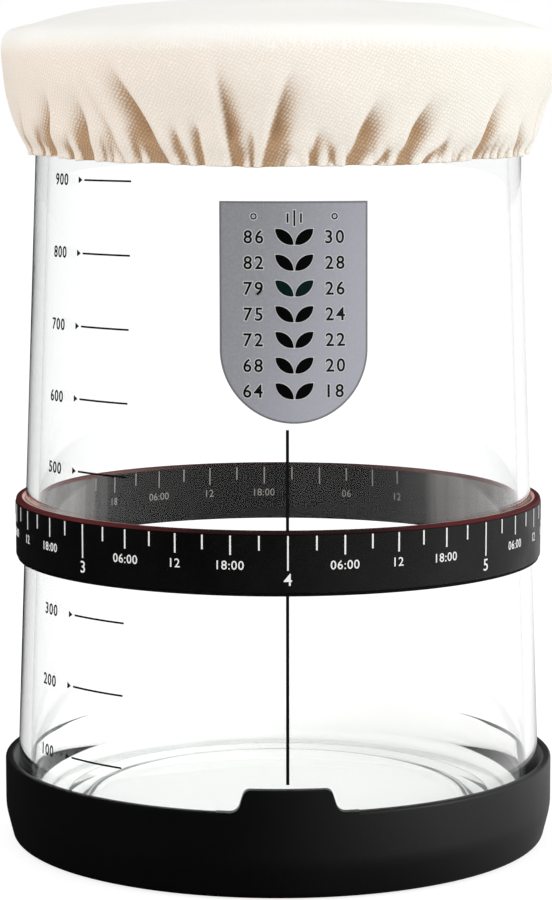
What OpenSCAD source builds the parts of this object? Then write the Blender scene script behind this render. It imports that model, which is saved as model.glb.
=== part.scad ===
// Sourdough starter jar: a tapered glass jar in a silicone sleeve, with a turning
// feeding band, a stick-on thermometer, and a gathered cloth cover over its lid.
// Millimetres, +Z up. The origin is on the ground under the middle of the jar, and
// the index line and the sleeve's tab face the front, which is -Y.

/* [Glass jar] */
// Outer diameter of the glass at its foot, before the corner is rounded
jar_foot_d = 105.6; // [100:0.1:114]
// Outer diameter of the glass at its mouth
jar_mouth_d = 94.6; // [88:0.1:98]
// Height of the glass from foot to rim
jar_h = 146; // [135:1:175]
// Thickness of the glass wall
jar_wall = 2.4; // [1.8:0.1:3.2]
// Thickness of the glass bottom next to the wall
jar_floor = 6.5; // [4:0.1:9]
// Height of the push-up under the middle of the glass bottom
jar_push_up = 1.8; // [0.5:0.1:2.5]
// Radius of the corner between the glass wall and its foot
jar_corner = 5; // [3:0.1:6]
// Width of the ring that the glass stands on
jar_foot_ring_w = 5; // [3:0.5:8]

/* [Silicone sleeve] */
// Height of the sleeve round the foot of the jar
sleeve_h = 16.6; // [13:0.1:24]
// Thickness of the sleeve's wall at its bore
sleeve_wall = 1.8; // [1.6:0.1:3]
// Thickness of the sleeve's floor
sleeve_floor = 3; // [1.8:0.1:4]
// Gap between the glass foot and the sleeve's bore
sleeve_gap = 0.3; // [0.2:0.05:0.6]
// How far the tapered foot draws in
sleeve_taper_w = 1.6; // [1:0.1:4]
// Height of the tapered foot
sleeve_taper_h = 6.5; // [6:0.1:9]
// Width of the front tab along its top edge
tab_top_w = 16; // [12:0.5:24]
// Width of the front tab where it meets the rim
tab_foot_w = 18.8; // [17:0.1:30]
// Height of the tab above the rim
tab_h = 4.4; // [3:0.1:5.5]
// Radius of the tab's upper corners
tab_round = 1.6; // [0.8:0.1:2]
// Radius of the fillets where the tab meets the rim
tab_fillet = 1.9; // [1:0.1:2.4]

/* [Feeding band] */
// Height of the band's lower edge above the ground at rest
band_z = 56.6; // [35:0.1:70]
// Height of the whole band
band_h = 12.1; // [9:0.1:16]
// Gap between the glass and the band's inner ring
band_gap = 0.35; // [0.3:0.05:0.6]
// Thickness of the inner ring at its lower edge
liner_wall = 0.4; // [0.35:0.05:0.8]
// Height of the red lip over the dial
liner_lip_h = 0.6; // [0.6:0.1:1.4]
// Height of the ledge under the dial
liner_ledge_h = 0.5; // [0.4:0.1:1]
// Thickness of the turning dial
dial_wall = 0.8; // [0.6:0.1:1.6]
// Running gap between the dial and the inner ring, all round
dial_gap = 0.06; // [0.04:0.01:0.1]
// Days round the dial
days = 7; // [7:1:7]
// Divisions of each day
day_divisions = 8; // [4:4:8]
// Angle that the days take up, which leaves a blank stretch of the dial at the back
days_angle = 325; // [280:1:360]
// Day whose mark stands over the index line
front_day = 4; // [1:1:7]
// Length of a day mark
day_tick_h = 6.4; // [5:0.1:6.8]
// Length of a mark every six hours
quarter_tick_h = 3.6; // [3:0.1:4.6]
// Length of the marks between
small_tick_h = 2.7; // [1.5:0.1:2.8]
// Width of every mark on the dial
tick_w = 0.3; // [0.2:0.05:0.5]

/* [Printed marks] */
// Thickness of the printed ink
ink = 0.08; // [0.05:0.01:0.12]
// Height of the lowest volume mark above the inside of the jar's floor
first_mark_rise = 12.9; // [8:0.1:20]
// Height between one volume mark and the next
mark_step = 13.7; // [9:0.1:20]
// Length of a volume mark, round the glass
mark_length = 13; // [6:0.5:16]
// Thickness of a volume mark's line
mark_w = 0.35; // [0.25:0.05:0.6]
// Angle of a volume mark's right-hand end from the front
mark_end_angle = 36.35; // [26:0.05:60]
// Width of the index line
index_w = 0.6; // [0.4:0.05:1]

/* [Thermometer strip] */
// Width of the strip
strip_w = 26.4; // [26:0.1:34]
// Height of the strip
strip_h = 39.8; // [39:0.1:46]
// Distance from the strip's top edge up to the hem of the cloth
strip_drop = 7.4; // [3:0.1:10]
// Angle of the strip's middle from the front
strip_angle = 1.5; // [-5:0.1:5]
// Border of the backing that shows round the film
backing_border = 0.35; // [0.2:0.05:0.8]
// Thickness of the backing and of the film
film = 0.1; // [0.08:0.01:0.12]
// Rows of leaf pairs
leaf_rows = 7; // [3:1:7]
// Height between one row and the next
leaf_step = 4.68; // [4.4:0.01:4.8]
// Distance from the strip's top edge to the middle of the first row
leaf_first_drop = 6.1; // [5:0.05:6.3]
// Length of a leaf from tip to tip
leaf_length = 4.4; // [3:0.1:4.8]
// Width of a leaf
leaf_w = 2; // [1.2:0.1:2.4]
// Tilt of a leaf above level
leaf_tilt = 41; // [25:1:50]

/* [Lid] */
// Height of the lid's edge above the glass rim
lid_edge_h = 12.1; // [8:0.1:16]
// Rise of the lid's crown above its edge
lid_crown = 3.5; // [2.4:0.1:4]
// Radius of the lid's upper edge
lid_round = 2.5; // [1.5:0.1:3.5]
// Depth of the plug below the rim
plug_h = 9.4; // [8:0.1:12]
// Gap between the plug and the glass, which the seal fills
plug_gap = 2; // [1.6:0.1:3]
// Depth of the seal's groove in the plug
seal_groove = 1.1; // [0.8:0.1:1.6]
// Height of the seal
seal_h = 5.6; // [4:0.1:6]
// Number of lips on the seal
seal_lips = 3; // [2:1:3]
// Gap between the seal's lips and the glass
seal_gap = 0.15; // [0.1:0.05:0.3]

/* [Cloth cover] */
// Thickness of the cloth
cloth = 0.9; // [0.8:0.05:1.2]
// How far the hem hangs below the glass rim
hem_drop = 13.3; // [10:0.1:18]
// Height of the elastic casing at the hem
casing_h = 5.2; // [4:0.1:7]
// Thickness of the elastic
elastic = 0.4; // [0.3:0.05:0.6]
// Gap between the glass and the elastic
hem_gap = 0.3; // [0.25:0.05:0.6]
// How far the gathered side stands out from the lid
puff = 7.1; // [6.6:0.1:7.6]
// Greatest depth of the folds at the gathered side
fold_depth = 2.2; // [1:0.1:2.6]
// Gap between the crown of the cloth and the lid
crown_gap = 0.8; // [0.8:0.05:1.6]
// Waviness of the hem's edge
hem_wave = 0.6; // [0:0.1:1]

/* [Hidden] */
$fn = 96;

// Flat faces that rest on each other are this far apart
seat = 0.05;
front = -90;
arc_steps = 6;

// Heights
glass_z = sleeve_floor + seat;
rim_z = glass_z + jar_h;
inner_floor_z = glass_z + jar_floor;
hem_z = rim_z - hem_drop;
lid_z = rim_z + seat;
lid_edge_z = lid_z + lid_edge_h;
lid_top_z = lid_edge_z + lid_crown;
band_top_z = band_z + band_h;
strip_top_z = hem_z - strip_drop;
strip_z = strip_top_z - strip_h;
// The index line starts just above the tab and stops short of the strip
index_z = sleeve_h + tab_h + 0.4;
index_top_z = strip_z - 1.5;
first_mark_z = inner_floor_z + first_mark_rise;

// Radii
jar_foot_r = jar_foot_d / 2;
jar_mouth_r = jar_mouth_d / 2;
bore_r = jar_foot_r + sleeve_gap;
sleeve_r = bore_r + sleeve_wall;
// The inner ring's outside is straight, and clears the glass where the jar is widest
liner_r = glass_r(band_z) + band_gap + liner_wall;
dial_bore_r = liner_r + dial_gap;
dial_r = dial_bore_r + dial_wall;
// Rounding of the dial's upper edge, just below which its marks start
dial_round = 0.15;
// The lid is no wider than the hem's bore, so the cover passes over it
lid_hem_gap = 0.3;
lid_r = min(jar_mouth_r, hem_r() - lid_hem_gap);
plug_r = jar_mouth_r - jar_wall - plug_gap;

// Outer radius of the glass at a height
function glass_r(z) = jar_foot_r + (jar_mouth_r - jar_foot_r) * (z - glass_z) / jar_h;

// Inner radius of the elastic at the hem
function hem_r() = glass_r(hem_z) + hem_gap;

function unit(v) = v / norm(v);

// The arc that rounds the corner b between the points a and c
function corner_arc(a, b, c, r) =
    let (
        u = unit(a - b),
        v = unit(c - b),
        half = acos(u * v) / 2,
        middle = b + unit(u + v) * r / sin(half),
        p = b + u * r / tan(half) - middle,
        q = b + v * r / tan(half) - middle,
        p_angle = atan2(p[1], p[0]),
        sweep = (atan2(q[1], q[0]) - p_angle + 540) % 360 - 180
    )
    [for (i = [0 : arc_steps])
        middle + r * [cos(p_angle + sweep * i / arc_steps), sin(p_angle + sweep * i / arc_steps)]];

// An outline from corners [x, y, radius], with an arc wherever the radius isn't 0
function rounded(corners) =
    let (n = len(corners))
    [for (i = [0 : n - 1])
        let (
            a = corners[(i + n - 1) % n],
            b = corners[i],
            c = corners[(i + 1) % n]
        )
        each b[2] == 0 ? [[b[0], b[1]]]
            : corner_arc([a[0], a[1]], [b[0], b[1]], [c[0], c[1]], b[2])];

module revolve(corners) {
    rotate_extrude() polygon(rounded(corners));
}

// A layer on the glass, from one height to another and from one thickness to another
module glass_skin(z0, z1, t0, t1, start = 0, angle = 360) {
    rotate([0, 0, start])
        rotate_extrude(angle = angle)
            polygon([
                [glass_r(z0) + t0, z0],
                [glass_r(z0) + t1, z0],
                [glass_r(z1) + t1, z1],
                [glass_r(z1) + t0, z1]]);
}

// A cup moulded in one piece: floor, tapered foot, wall, rounded rim and front tab
module silicone_base() {
    // A little under the glass's own corner, which it has to clear
    inner_corner = jar_corner - 0.4;
    rim_round = 0.6;
    foot_round = 1.5;
    taper_round = 13;
    color([0.07, 0.07, 0.08]) {
        revolve([
            [0, 0, 0],
            [sleeve_r - sleeve_taper_w, 0, foot_round],
            [sleeve_r, sleeve_taper_h, taper_round],
            [sleeve_r, sleeve_h, rim_round],
            [bore_r, sleeve_h, rim_round],
            [bore_r, sleeve_floor, inner_corner],
            [0, sleeve_floor, 0]]);
        base_tab();
    }
}

// The tab is the sleeve's own wall carried up, with corners rounded and foot filleted
module base_tab() {
    // The tab starts inside the wall, under the rounded rim
    root_z = sleeve_h - 1.2;
    half_foot = tab_foot_w / 2;
    half_top = tab_top_w / 2;
    reach = half_foot + 2 * tab_fillet;
    rounded_edge = 0.35;
    intersection() {
        rotate([90, 0, 0])
            linear_extrude(sleeve_r + 1)
                polygon(rounded([
                    [-reach, root_z, 0],
                    [reach, root_z, 0],
                    [reach, sleeve_h, 0],
                    [half_foot, sleeve_h, tab_fillet],
                    [half_top, sleeve_h + tab_h, tab_round],
                    [-half_top, sleeve_h + tab_h, tab_round],
                    [-half_foot, sleeve_h, tab_fillet],
                    [-reach, sleeve_h, 0]]));
        revolve([
            [bore_r, root_z, 0],
            [sleeve_r, root_z, 0],
            [sleeve_r, sleeve_h + tab_h, rounded_edge],
            [bore_r, sleeve_h + tab_h, rounded_edge]]);
    }
}

// The jar stands on a ring round a shallow push-up; its wall tapers to a round rim
module glass_jar() {
    ring_r = jar_foot_r - jar_corner - jar_foot_ring_w;
    push_up_slope = 6;
    rim_round = jar_wall * 0.48;
    color([0.82, 0.9, 0.88, 0.35])
        revolve([
            [0, glass_z + jar_push_up, 0],
            [ring_r - push_up_slope, glass_z + jar_push_up, 10],
            [ring_r, glass_z, 2],
            [jar_foot_r, glass_z, jar_corner],
            [jar_mouth_r, rim_z, rim_round],
            [jar_mouth_r - jar_wall, rim_z, rim_round],
            [glass_r(inner_floor_z) - jar_wall, inner_floor_z, jar_corner],
            [0, inner_floor_z, 0]]);
}

module index_line() {
    angle = 2 * asin(index_w / 2 / glass_r(index_z));
    color([0.05, 0.05, 0.05])
        glass_skin(index_z, index_top_z, 0, ink, front - angle / 2, angle);
}

// One line for each 100 ml, as many as fit between the jar's floor and the hem
module volume_marks() {
    angle = mark_length / glass_r(band_z) * 180 / PI;
    last_z = hem_z - 2;
    color([0.05, 0.05, 0.05])
        for (z = [first_mark_z : mark_step : last_z])
            glass_skin(z - mark_w / 2, z + mark_w / 2, 0, ink, front - mark_end_angle - angle, angle);
}

// A straight top edge and a round bottom, wrapped on the glass
module strip_layer(t0, t1, border) {
    half = strip_w / 2 + border;
    rotate([0, 0, strip_angle])
        intersection() {
            rotate([90, 0, 0])
                linear_extrude(jar_foot_r + 5)
                    union() {
                        translate([-half, strip_z + strip_w / 2])
                            square([2 * half, strip_h - strip_w / 2 + border]);
                        translate([0, strip_z + strip_w / 2])
                            circle(half);
                    }
            glass_skin(strip_z - 1, strip_top_z + 1, t0, t1);
        }
}

module thermometer_backing() {
    color([0.36, 0.36, 0.4]) strip_layer(0, film, backing_border);
}

module thermometer_film() {
    color([0.66, 0.67, 0.71]) strip_layer(film, 2 * film, 0);
}

// A leaf is where two circles cross, with its lower tip at the origin
module leaf() {
    r = (pow(leaf_length, 2) + pow(leaf_w, 2)) / (4 * leaf_w);
    rotate(leaf_tilt)
        translate([leaf_length / 2, 0])
            intersection() {
                translate([0, r - leaf_w / 2]) circle(r);
                translate([0, leaf_w / 2 - r]) circle(r);
            }
}

// Each cell is a leaf of liquid crystal; seven pairs make an ear of wheat
module temperature_cells() {
    stem_half = 0.15;
    leaf_rise = leaf_length * sin(leaf_tilt) / 2;
    color([0.04, 0.05, 0.05])
        rotate([0, 0, strip_angle])
            intersection() {
                rotate([90, 0, 0])
                    linear_extrude(jar_foot_r + 5)
                        for (row = [0 : leaf_rows - 1], side = [0, 1])
                            translate([0, strip_top_z - leaf_first_drop - leaf_step * row - leaf_rise])
                                mirror([side, 0])
                                    translate([stem_half, 0])
                                        leaf();
                glass_skin(strip_z, strip_top_z, 2 * film, 2 * film + ink);
            }
}

// A channel that the dial turns in: its bore follows the glass, and its lip shows red
module band_liner() {
    // The dial stands a little proud of the lip over it and the ledge under it
    lip_r = dial_r - 0.1;
    ledge_r = dial_r - 0.3;
    lip_z = band_top_z - liner_lip_h;
    color([0.32, 0.06, 0.08])
        revolve([
            [glass_r(band_z) + band_gap, band_z, 0],
            [ledge_r, band_z, 0.2],
            [ledge_r, band_z + liner_ledge_h, 0],
            [liner_r, band_z + liner_ledge_h, 0],
            [liner_r, lip_z, 0],
            [lip_r, lip_z, 0],
            [lip_r, band_top_z, 0.35],
            [glass_r(band_top_z) + band_gap, band_top_z, 0.25]]);
}

module feeding_band() {
    z0 = band_z + liner_ledge_h + dial_gap;
    z1 = band_top_z - liner_lip_h - dial_gap;
    color([0.06, 0.06, 0.07])
        revolve([
            [dial_bore_r, z0, 0],
            [dial_r, z0, 0.4],
            [dial_r, z1, dial_round],
            [dial_bore_r, z1, 0]]);
}

// A long mark for each day, middle marks every six hours and short ones between
module dial_ticks() {
    count = days * day_divisions;
    pitch = days_angle / count;
    front_tick = (front_day - 1) * day_divisions;
    angle = 2 * asin(tick_w / 2 / dial_r);
    top_z = band_top_z - liner_lip_h - dial_gap - dial_round;
    color([0.92, 0.92, 0.92])
        for (i = [0 : count - 1]) {
            tick_h = i % day_divisions == 0 ? day_tick_h : i % 2 == 0 ? quarter_tick_h : small_tick_h;
            rotate([0, 0, front + pitch * (i - front_tick) - angle / 2])
                rotate_extrude(angle = angle)
                    translate([dial_r, top_z - tick_h])
                        square([ink, tick_h]);
        }
}

// Height of the lid's crown at a radius
function crown_z(r) = lid_top_z - lid_crown * pow(r / lid_r, 2);

// A turned wooden lid with a low crown, and a grooved plug that holds the seal
module lid() {
    crown_steps = 8;
    crown_r = lid_r - lid_round;
    groove_z = lid_z - plug_h / 2 - seal_h / 2;
    color([0.72, 0.55, 0.35])
        revolve([
            [0, lid_z - plug_h, 0],
            [plug_r, lid_z - plug_h, 1],
            [plug_r, groove_z, 0],
            [plug_r - seal_groove, groove_z, 0],
            [plug_r - seal_groove, groove_z + seal_h, 0],
            [plug_r, groove_z + seal_h, 0],
            [plug_r, lid_z, 0],
            [lid_r, lid_z, 0.8],
            [lid_r, crown_z(crown_r), lid_round * 0.8],
            for (i = [crown_steps - 1 : -1 : 1])
                [crown_r * i / crown_steps, crown_z(crown_r * i / crown_steps), 0],
            [0, lid_top_z, 0]]);
}

// A ring in the plug's groove, with lips that slope up against the glass
module lid_gasket() {
    seal_z = lid_z - plug_h / 2 - seal_h / 2 + seat;
    seal_top_z = seal_z + seal_h - 2 * seat;
    inner_r = plug_r - seal_groove + seat;
    body_r = plug_r + 0.3;
    lip_step = (seal_top_z - seal_z) / seal_lips;
    lip_t = lip_step * 0.3;
    color([0.9, 0.9, 0.88])
        rotate_extrude()
            polygon([
                [inner_r, seal_z],
                for (i = [0 : seal_lips - 1])
                    let (z = seal_z + i * lip_step, lip_r = glass_r(z + lip_step) - jar_wall - seal_gap)
                    each [
                        [body_r, z],
                        [lip_r, z + lip_step - 2 * lip_t],
                        [lip_r, z + lip_step - lip_t],
                        [body_r, z + lip_step - lip_t]],
                [body_r, seal_top_z],
                [inner_r, seal_top_z]]);
}

// Creases of the gathered side on the front half, from left to right: angle at the hem and
// angle at the top, from the front; height above the hem; depth; half width in degrees
front_creases = [
    [-77, -74, 9, 1.5, 4],
    [-68, -65, 6, 1, 3],
    [-61, -56, 13, 1.3, 4],
    [-51, -51, 7, 1, 3],
    [-41, -45, 17, 1.1, 4],
    [-31, -32, 7, 1.4, 3],
    [-26, -35, 16, 2.2, 4],
    [-21, -23, 7, 1.5, 3],
    [-14, -16, 17, 1.8, 3.5],
    [-7, -2, 12, 1.7, 3],
    [-2, -1, 17, 1.5, 3],
    [3, 5, 5, 1.2, 3],
    [12, 16, 12, 2.2, 4.5],
    [25, 30, 12, 2, 4.5],
    [32, 36, 4, 1, 3],
    [45, 43, 6, 0.9, 3],
    [53, 45, 13, 1.5, 4],
    [65, 62, 8, 1.3, 3.5],
    [76, 79, 14, 1.7, 4]];

// The rest go round the back at uneven steps
back_creases = 16;
back_start = 88;
back_step = 12.2;
creases = concat(front_creases,
    [for (i = [0 : back_creases - 1])
        let (a = back_start + back_step * i + 3 * sin(137 * i))
        [a, a + 4 * sin(211 * i), 10 + 6 * sin(97 * i), 1.5 + 0.6 * sin(61 * i), 3.5]]);

function sum(v) = v * [for (x = v) 1];

// Shortest way round from one angle to another
function turn(a, b) = (b - a + 900) % 360 - 180;

// How deep one crease is at an angle and a height above the hem, both sides sloping out
function crease(c, a, h) =
    h > c[2] ? 0 :
    let (
        middle = c[0] + (c[1] - c[0]) * h / c[2],
        off = abs(turn(middle, a)) / c[4]
    )
    off > 2 ? 0 : c[3] * cos(45 * off) * cos(45 * off) * cos(90 * h / c[2]);

// Depth of the folds at an angle and a height above the hem
function fold(a, h) = min(fold_depth, sum([for (c = creases) crease(c, a, h)]));

// Rise and fall of the hem's edge
function wave(a) = hem_wave * (0.6 * cos(9 * a + 30 * sin(2 * a)) + 0.4 * cos(14 * a));

// A ring of the cloth: its radius on the ridges, its height and its share of the folds
function cloth_ring(r, z, share, waves = 0) =
    [for (i = [0 : cloth_sides - 1])
        let (a = 360 * i / cloth_sides, fr = r - share * fold(a - front, max(0, z - hem_z)))
        [fr * cos(a), fr * sin(a), z + waves * wave(a)]];

cloth_sides = 88;

// One closed skin: up the outside to the crown, and down the inside to the hem
module cloth_cover() {
    n = cloth_sides;
    casing_z = hem_z + casing_h;
    belly_z = (casing_z + lid_edge_z) / 2;
    belly_r = lid_r + puff;
    belly_half_h = 3;
    low_belly_r = belly_r - 1;
    // Above the casing the cloth springs out to the belly
    spring_r = belly_r - 2.4;
    spring_z = casing_z + 2.6;
    spring_share = 0.9;
    // The hem's folds stay outside the elastic
    hem_slack = 0.1;
    hem_share = 0.28;
    hem_outer_r = hem_r() + elastic + hem_slack + cloth + hem_share * fold_depth;
    // The cloth turns over the lid's edge, then rises to the crown
    shoulder_r = belly_r - 0.7;
    shoulder_z = lid_edge_z - 2.4;
    edge_r = lid_r + 0.9;
    edge_z = lid_edge_z - 0.05;
    crown_r = lid_r * 0.78;
    crown_mid_z = lid_top_z + crown_gap - 1.2;
    outside = [
        cloth_ring(hem_outer_r, hem_z, hem_share, 1),
        cloth_ring(hem_outer_r, casing_z, hem_share),
        cloth_ring(spring_r, spring_z, spring_share),
        cloth_ring(low_belly_r, belly_z - belly_half_h, 1),
        cloth_ring(belly_r, belly_z + belly_half_h, 1),
        cloth_ring(shoulder_r, shoulder_z, 1),
        cloth_ring(edge_r + 0.7 * cloth, edge_z + 0.9 * cloth, 0),
        cloth_ring(crown_r, crown_mid_z + cloth, 0)];
    inside = [
        cloth_ring(crown_r, crown_mid_z, 0),
        cloth_ring(edge_r, edge_z, 0),
        cloth_ring(belly_r - cloth, belly_z + belly_half_h, 1),
        cloth_ring(low_belly_r - cloth, belly_z - belly_half_h, 1),
        cloth_ring(hem_outer_r - cloth, casing_z, hem_share),
        cloth_ring(hem_outer_r - cloth, hem_z, hem_share, 1)];
    rings = concat(outside, inside);
    top = len(rings) * n;
    crown = len(outside) - 1;
    color([0.93, 0.89, 0.8])
        polyhedron(
            points = concat([for (ring = rings) each ring],
                [[0, 0, lid_top_z + crown_gap + cloth], [0, 0, lid_top_z + crown_gap]]),
            faces = concat(
                [for (k = [0 : len(rings) - 1], i = [0 : n - 1])
                    if (k != crown)
                        let (
                            a = k * n + i,
                            b = k * n + (i + 1) % n,
                            c = (k + 1) % len(rings) * n + (i + 1) % n,
                            d = (k + 1) % len(rings) * n + i
                        )
                        each [[a, c, b], [a, d, c]]],
                [for (i = [0 : n - 1])
                    [crown * n + i, top, crown * n + (i + 1) % n]],
                [for (i = [0 : n - 1])
                    [(crown + 1) * n + i, (crown + 1) * n + (i + 1) % n, top + 1]]));
}

// A flat elastic sewn inside the hem
module hem_elastic() {
    margin = 0.5;
    color([0.85, 0.83, 0.78])
        revolve([
            [hem_r(), hem_z + margin, 0.15],
            [hem_r() + elastic, hem_z + margin, 0],
            [hem_r() + elastic, hem_z + casing_h - margin, 0],
            [hem_r(), hem_z + casing_h - margin, 0.15]]);
}

silicone_base();
glass_jar();
index_line();
volume_marks();
thermometer_backing();
thermometer_film();
temperature_cells();
band_liner();
feeding_band();
dial_ticks();
lid();
lid_gasket();
cloth_cover();
hem_elastic();
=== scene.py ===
"""Looks of a sourdough starter jar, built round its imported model. +Z up, the front is -Y."""
import math

import bmesh
import bpy
import numpy as np
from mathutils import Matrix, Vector


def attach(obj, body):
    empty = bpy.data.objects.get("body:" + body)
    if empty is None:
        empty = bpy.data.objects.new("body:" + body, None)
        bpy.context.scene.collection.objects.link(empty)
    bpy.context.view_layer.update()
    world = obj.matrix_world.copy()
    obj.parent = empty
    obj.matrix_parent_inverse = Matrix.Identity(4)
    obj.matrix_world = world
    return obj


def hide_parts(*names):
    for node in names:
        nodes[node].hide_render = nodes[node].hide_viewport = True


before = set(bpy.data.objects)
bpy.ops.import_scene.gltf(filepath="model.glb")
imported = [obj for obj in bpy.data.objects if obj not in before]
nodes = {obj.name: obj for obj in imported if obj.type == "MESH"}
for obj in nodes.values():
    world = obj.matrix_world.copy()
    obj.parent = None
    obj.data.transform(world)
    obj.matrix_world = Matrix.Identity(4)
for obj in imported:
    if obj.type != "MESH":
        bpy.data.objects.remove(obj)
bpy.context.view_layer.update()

MM = 0.001

# Sizes of the model's own parts, in millimetres, and angles in degrees
GLASS_FOOT_R = 52.8
GLASS_MOUTH_R = 47.3
GLASS_Z = 3.05
RIM_Z = 149.05
GLASS_WALL = 2.4
GLASS_FLOOR = 6.5
PUSH_UP = 1.8
GLASS_CORNER = 5.0
FOOT_RING_W = 5.0
SLEEVE_BORE_R = 53.1
HEM_Z = 135.75
STRIP_TOP_Z = 128.35
STRIP_ANGLE = 1.5
FILM = 0.1
LEAF_ROWS = 7
LEAF_STEP = 4.68
LEAF_FIRST_DROP = 6.1
LEAF_LENGTH = 4.4
LEAF_W = 2.0
LEAF_TILT = 41.0
STEM_HALF = 0.15
BAND_TOP_Z = 68.7
BAND_GAP = 0.35
DIAL_R = 52.39
TICK_TOP_Z = 67.89
DAY_TICK = 6.4
QUARTER_TICK = 3.6
SMALL_TICK = 2.7
HOUR_DROP = 1.9
DAYS = 7
DIVISIONS = 8
DAYS_ANGLE = 325.0
FRONT_DAY = 4
FIRST_MARK_Z = 22.45
MARK_STEP = 13.7
MARK_COUNT = 9
# Height of the font's digits at size 1
FONT_DIGIT = 0.68


def glass_r(z):
    """Outer radius of the glass at a height, in mm."""
    share = (z - GLASS_Z) / (RIM_Z - GLASS_Z)
    return GLASS_FOOT_R + (GLASS_MOUTH_R - GLASS_FOOT_R) * share


# Meshes
def mesh_piece(name, points, faces, body):
    """A smooth mesh from points in mm, which rides on a body."""
    mesh = bpy.data.meshes.new(name)
    mesh.from_pydata((np.asarray(points) * MM).tolist(), [], faces)
    mesh.update()
    mesh.polygons.foreach_set("use_smooth", [True] * len(mesh.polygons))
    piece = bpy.data.objects.new(name, mesh)
    bpy.context.scene.collection.objects.link(piece)
    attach(piece, body)
    return piece


def face_out(piece):
    """Turns every face of a closed mesh outwards."""
    made = bmesh.new()
    made.from_mesh(piece.data)
    bmesh.ops.recalc_face_normals(made, faces=made.faces)
    made.to_mesh(piece.data)
    made.free()


def rounded(corners, steps=10):
    """An outline from corners (x, y, radius), with an arc wherever the radius isn't 0."""
    outline = []
    for i, (x, y, radius) in enumerate(corners):
        b = np.array([x, y], float)
        if radius == 0:
            outline.append(b)
            continue
        u = np.array(corners[i - 1][:2], float) - b
        v = np.array(corners[(i + 1) % len(corners)][:2], float) - b
        u /= np.linalg.norm(u)
        v /= np.linalg.norm(v)
        half = math.acos(np.clip(u @ v, -1, 1)) / 2
        middle = b + (u + v) / np.linalg.norm(u + v) * radius / math.sin(half)
        p = b + u * radius / math.tan(half) - middle
        q = b + v * radius / math.tan(half) - middle
        start = math.atan2(p[1], p[0])
        sweep = (math.atan2(q[1], q[0]) - start + 3 * math.pi) % (2 * math.pi) - math.pi
        for k in range(steps + 1):
            turn = start + sweep * k / steps
            outline.append(middle + radius * np.array([math.cos(turn), math.sin(turn)]))
    return outline


def supported(outline, reach=0.3):
    """Adds points near the ends of long stretches, so that arcs don't bend their shading."""
    made = [outline[0]]
    for a, b in zip(outline, outline[1:]):
        length = np.linalg.norm(b - a)
        if length > 4 * reach:
            made += [a + (b - a) * reach / length, b - (b - a) * reach / length]
        made.append(b)
    return made


def lathe(name, outline, body, sides=256):
    """Turns an outline that starts and ends on the axis into a closed solid."""
    points, rings = [], []
    turns = np.linspace(0, 2 * math.pi, sides, endpoint=False)
    for r, z in outline:
        first = len(points)
        if r < 1e-6:
            rings.append([first] * sides)
            points.append((0, 0, z))
        else:
            rings.append(list(range(first, first + sides)))
            points += [(r * math.cos(t), r * math.sin(t), z) for t in turns]
    faces = []
    for a, b in zip(rings, rings[1:]):
        for i in range(sides):
            j = (i + 1) % sides
            face = list(dict.fromkeys([a[i], a[j], b[j], b[i]]))
            if len(face) > 2:
                faces.append(face)
    piece = mesh_piece(name, points, faces, body)
    face_out(piece)
    return piece


# Prints, which are thin solids wrapped on a round surface
class Prints:
    """Collects flat shapes and wraps them on a surface of revolution."""

    def __init__(self, surface, lift, thick, inward=False):
        self.surface = surface
        self.lift = lift
        self.thick = thick
        self.side = -1 if inward else 1
        self.points = []
        self.faces = []

    def add(self, flat, faces, angle, z):
        """flat holds (x, y, 0 at the back or 1 at the front) in mm round a middle."""
        first = len(self.points)
        for x, y, layer in flat:
            r = self.surface(z + y) + self.side * (self.lift + self.thick * layer)
            turn = math.radians(angle) + self.side * x / self.surface(z)
            self.points.append((r * math.sin(turn), -r * math.cos(turn), z + y))
        self.faces += [[first + i for i in face] for face in faces]

    def grid(self, rows, angle, z):
        """rows is a grid of (x, y) points that covers a shape."""
        rows = np.asarray(rows, float)
        n, m = rows.shape[:2]
        flat = [(x, y, layer) for layer in (0, 1) for x, y in rows.reshape(-1, 2)]
        faces = []
        for i in range(n - 1):
            for j in range(m - 1):
                quad = [i * m + j, i * m + j + 1, (i + 1) * m + j + 1, (i + 1) * m + j]
                faces.append([k + n * m for k in quad])
                faces.append(quad[::-1])
        edge = [j for j in range(m)] + [i * m + m - 1 for i in range(1, n)]
        edge += [(n - 1) * m + j for j in range(m - 2, -1, -1)]
        edge += [i * m for i in range(n - 2, 0, -1)]
        for a, b in zip(edge, edge[1:] + edge[:1]):
            faces.append([a, b, b + n * m, a + n * m])
        self.add(flat, faces, angle, z)

    def piece(self, name, body, slot):
        """All the collected shapes as one flat-shaded piece."""
        made = mesh_piece(name, self.points, self.faces, body)
        weld(made)
        face_out(made)
        made.data.polygons.foreach_set("use_smooth", [False] * len(made.data.polygons))
        return made


def weld(piece):
    """Joins the points that lie on each other and drops faces with no area."""
    made = bmesh.new()
    made.from_mesh(piece.data)
    bmesh.ops.remove_doubles(made, verts=made.verts, dist=1e-6)
    bmesh.ops.dissolve_degenerate(made, edges=made.edges, dist=1e-7)
    made.to_mesh(piece.data)
    made.free()


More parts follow.
